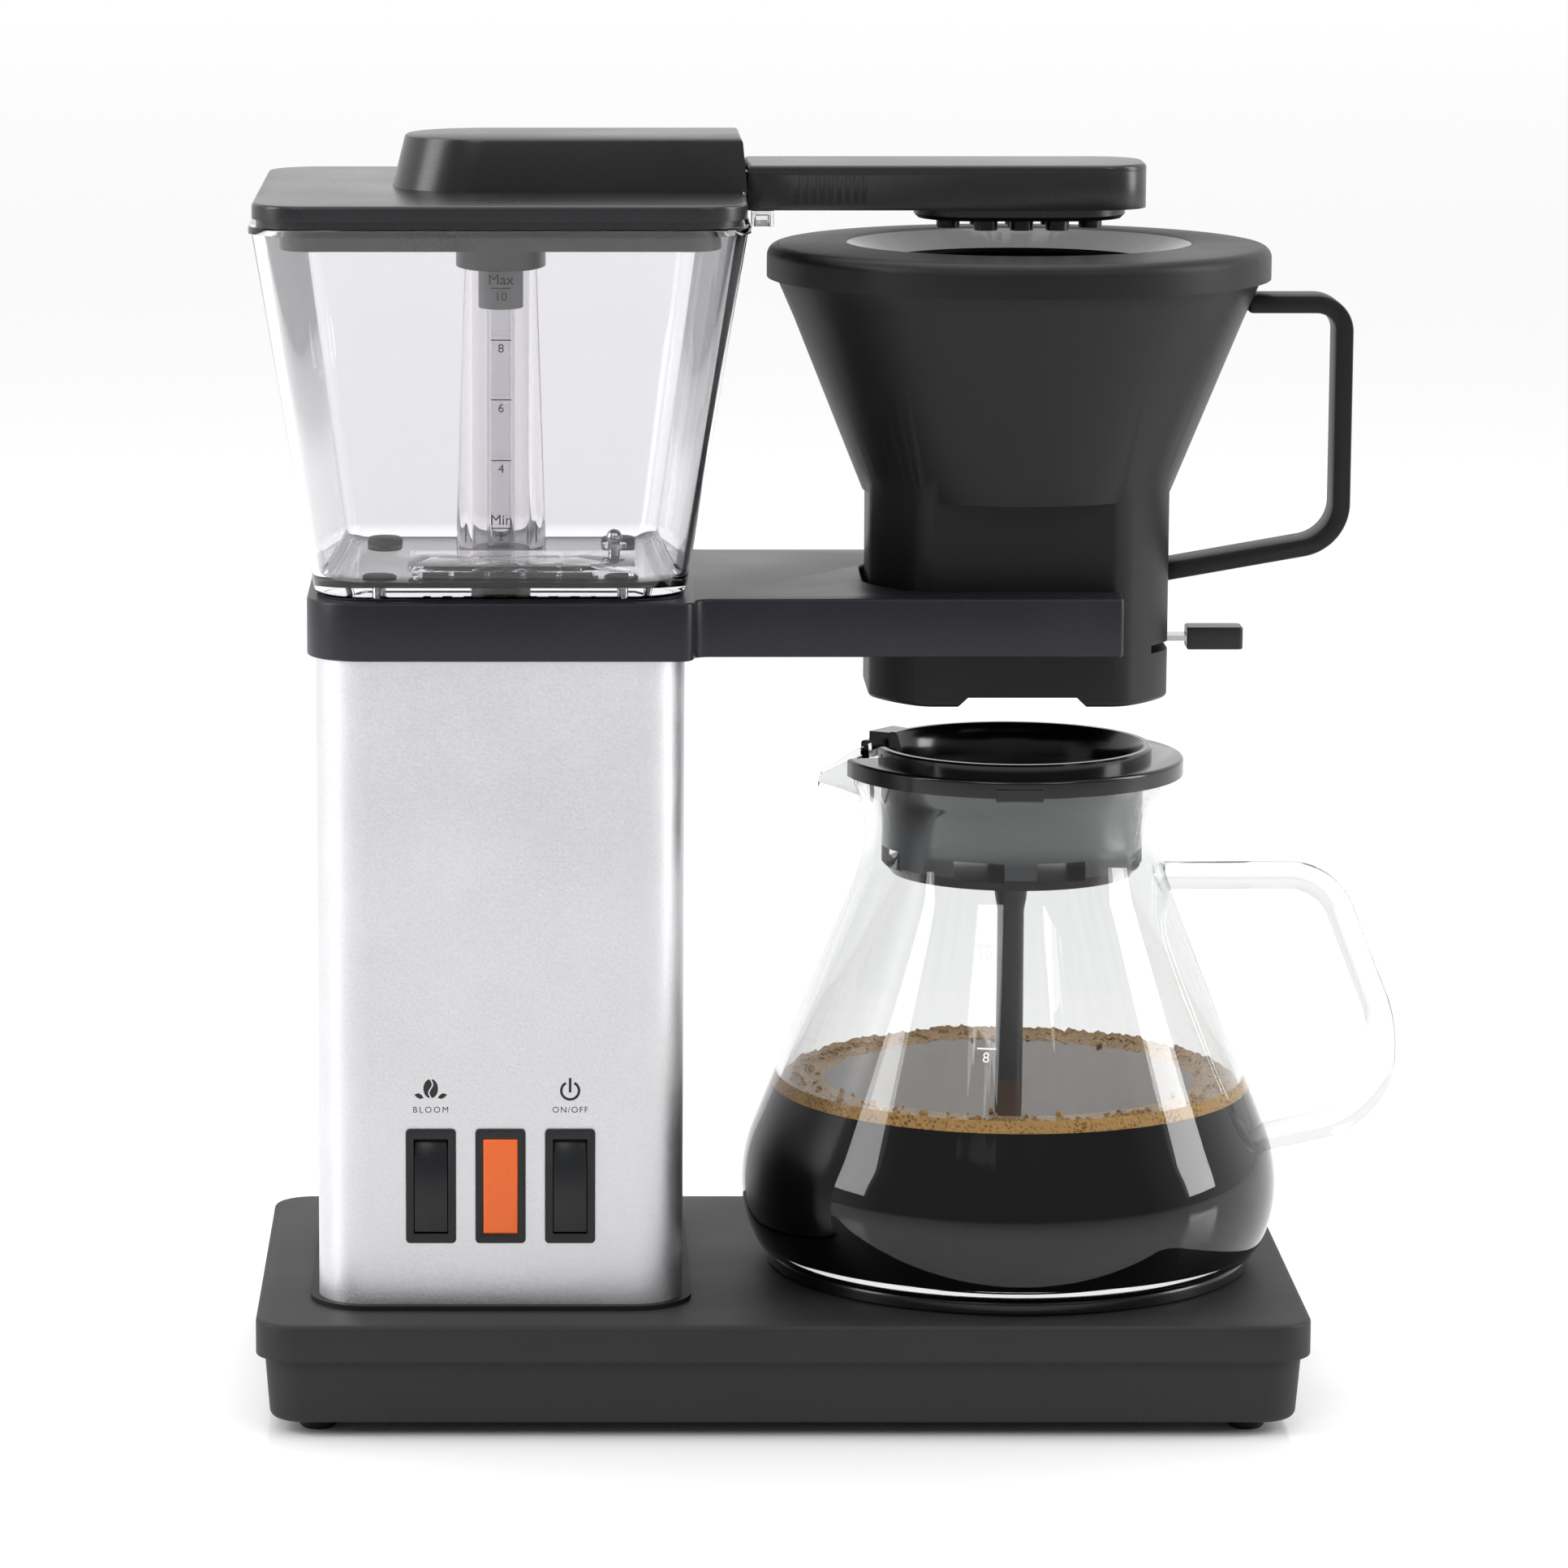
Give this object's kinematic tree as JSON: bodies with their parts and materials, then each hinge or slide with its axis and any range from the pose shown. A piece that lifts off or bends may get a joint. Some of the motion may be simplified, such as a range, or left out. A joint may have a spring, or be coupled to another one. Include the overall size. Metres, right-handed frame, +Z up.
{
  "type": "drip coffee maker",
  "caption": "Drip coffee maker: low base with hotplate, aluminium column, cast arm with a fork for the filter basket, clear water tank, spray arm and glass carafe.",
  "frame": {"origin": "on the surface the feet stand on, under the middle of the object's box", "axes": "+Z up, -Y out of the front with the switches, +X to the right, from the column towards the basket and carafe"},
  "size_m": [0.3322, 0.1624, 0.3642],
  "materials": {
    "charcoal_plastic": "fine moulded grain",
    "dark_casting": "satin, blue-grey",
    "black_plastic": "satin moulded",
    "gloss_black": "polished",
    "dark_grey_plastic": "satin",
    "rubber": "matt",
    "steel": "plain",
    "aluminium": "satin bead blasted",
    "hotplate_coating": "smooth non-stick coat",
    "orange_lens": "translucent",
    "clear_tank": "clear",
    "glass": "clear blown",
    "brass": "plain",
    "silicone": "translucent",
    "copper_wire": "insulated wire"
  },
  "bodies": {
    "root": {"base_tray": "charcoal_plastic", "base_top_plate": "charcoal_plastic", "rubber_feet": "rubber", "base_screws": "steel", "cord_gland": "rubber", "terminal_block": "dark_grey_plastic", "hotplate": "hotplate_coating", "hotplate_seal": "rubber", "hotplate_heater": "aluminium", "hotplate_clamp": "steel", "column_gasket": "dark_casting", "column_shell": "aluminium", "support_arm": "dark_casting", "switch_housing_left": "black_plastic", "switch_housing_right": "black_plastic", "lamp_housing": "black_plastic", "lamp_lens": "orange_lens", "switch_terminals": "brass", "switch_wires": "copper_wire", "boiler_tube": "aluminium", "boiler_block": "aluminium", "thermostat": "steel", "thermal_fuse": "steel", "check_valve": "dark_grey_plastic", "inlet_hose": "silicone", "outlet_hose": "silicone", "hose_clamps": "steel", "riser_tube": "clear_tank", "riser_grommet": "silicone", "tube_sleeve": "silicone", "water_tank": "clear_tank", "tank_seal": "rubber", "tank_screws": "steel", "tank_floor_plate": "clear_tank", "inlet_strainer": "black_plastic", "level_probe": "steel"},
    "lid": {"tank_lid": "black_plastic", "lid_cover": "black_plastic", "spray_arm_body": "black_plastic", "spray_arm_cap": "black_plastic", "shower_head": "black_plastic"},
    "basket": {"brew_basket": "black_plastic", "basket_handle": "black_plastic", "valve_seal": "silicone", "pivot_screw": "steel"},
    "basket_lid": {"basket_lid": "dark_grey_plastic"},
    "drip_lever": {"valve_disc": "black_plastic", "lever_strip": "steel", "lever_knob": "black_plastic"},
    "carafe": {"carafe_glass": "glass", "carafe_handle": "glass"},
    "carafe_lid": {"carafe_lid": "gloss_black", "mixing_stem": "dark_grey_plastic"},
    "rocker_left": {"rocker_left": "black_plastic"},
    "rocker_right": {"rocker_right": "black_plastic"},
    "valve_ball": {"check_valve_ball": "steel"}
  },
  "joints": [
    {"name": "lid_lift", "type": "slide", "parent": "root", "child": "lid", "axis": [0, 0, 1], "range_m": [0, 0.08]},
    {"name": "basket_slide", "type": "slide", "parent": "root", "child": "basket", "axis": [1, 0, 0], "range_m": [0, 0.095]},
    {"name": "basket_lid_lift", "type": "slide", "parent": "basket", "child": "basket_lid", "axis": [0, 0, 1], "range_m": [0, 0.0035]},
    {"name": "drip_lever_turn", "type": "hinge", "parent": "basket", "child": "drip_lever", "pos_m": [0.0528, 0, 0.2187], "axis": [0, 0, 1], "range_deg": [-30, 0]},
    {"name": "carafe_slide", "type": "slide", "parent": "root", "child": "carafe", "axis": [0, -1, 0], "range_m": [0, 0.2]},
    {"name": "carafe_lid_lift", "type": "slide", "parent": "carafe", "child": "carafe_lid", "axis": [0, 0, 1], "range_m": [0, 0.014]},
    {"name": "rocker_left_tilt", "type": "hinge", "parent": "root", "child": "rocker_left", "pos_m": [-0.1157, -0.0589, 0.0695], "axis": [1, 0, 0], "range_deg": [0, 14]},
    {"name": "rocker_right_tilt", "type": "hinge", "parent": "root", "child": "rocker_right", "pos_m": [-0.0761, -0.0589, 0.0695], "axis": [1, 0, 0], "range_deg": [0, 14]},
    {"name": "valve_ball_lift", "type": "slide", "parent": "root", "child": "valve_ball", "axis": [0, 0, 1], "range_m": [0, 0.002]}
  ]
}
